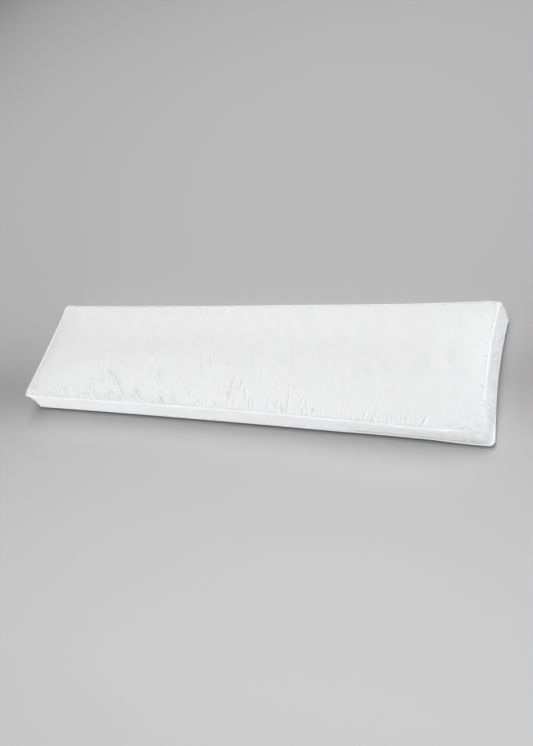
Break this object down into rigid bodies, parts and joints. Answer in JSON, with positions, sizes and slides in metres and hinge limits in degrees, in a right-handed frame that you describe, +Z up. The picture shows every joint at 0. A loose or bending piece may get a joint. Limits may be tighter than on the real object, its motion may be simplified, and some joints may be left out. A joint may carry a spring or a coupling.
{
  "type": "body pillow",
  "caption": "Long box-edged body pillow lying flat, with a crowned and puckered top, an upright boxing strip and piped seams.",
  "frame": {"origin": "centre of the pillow's outline in plan, on the surface it lies on", "axes": "+X along the pillow, -Y towards its front long side, +Z up through the crowned top panel"},
  "size_m": [1.4386, 0.3676, 0.122],
  "materials": {
    "cotton_white": "matt plain-woven cotton",
    "piping_top_cord": "matt cotton over a cord",
    "piping_bottom_cord": "matt cotton over a cord"
  },
  "bodies": {
    "root": {"cushion": "cotton_white", "piping_top": "piping_top_cord", "piping_bottom": "piping_bottom_cord"}
  },
  "joints": []
}
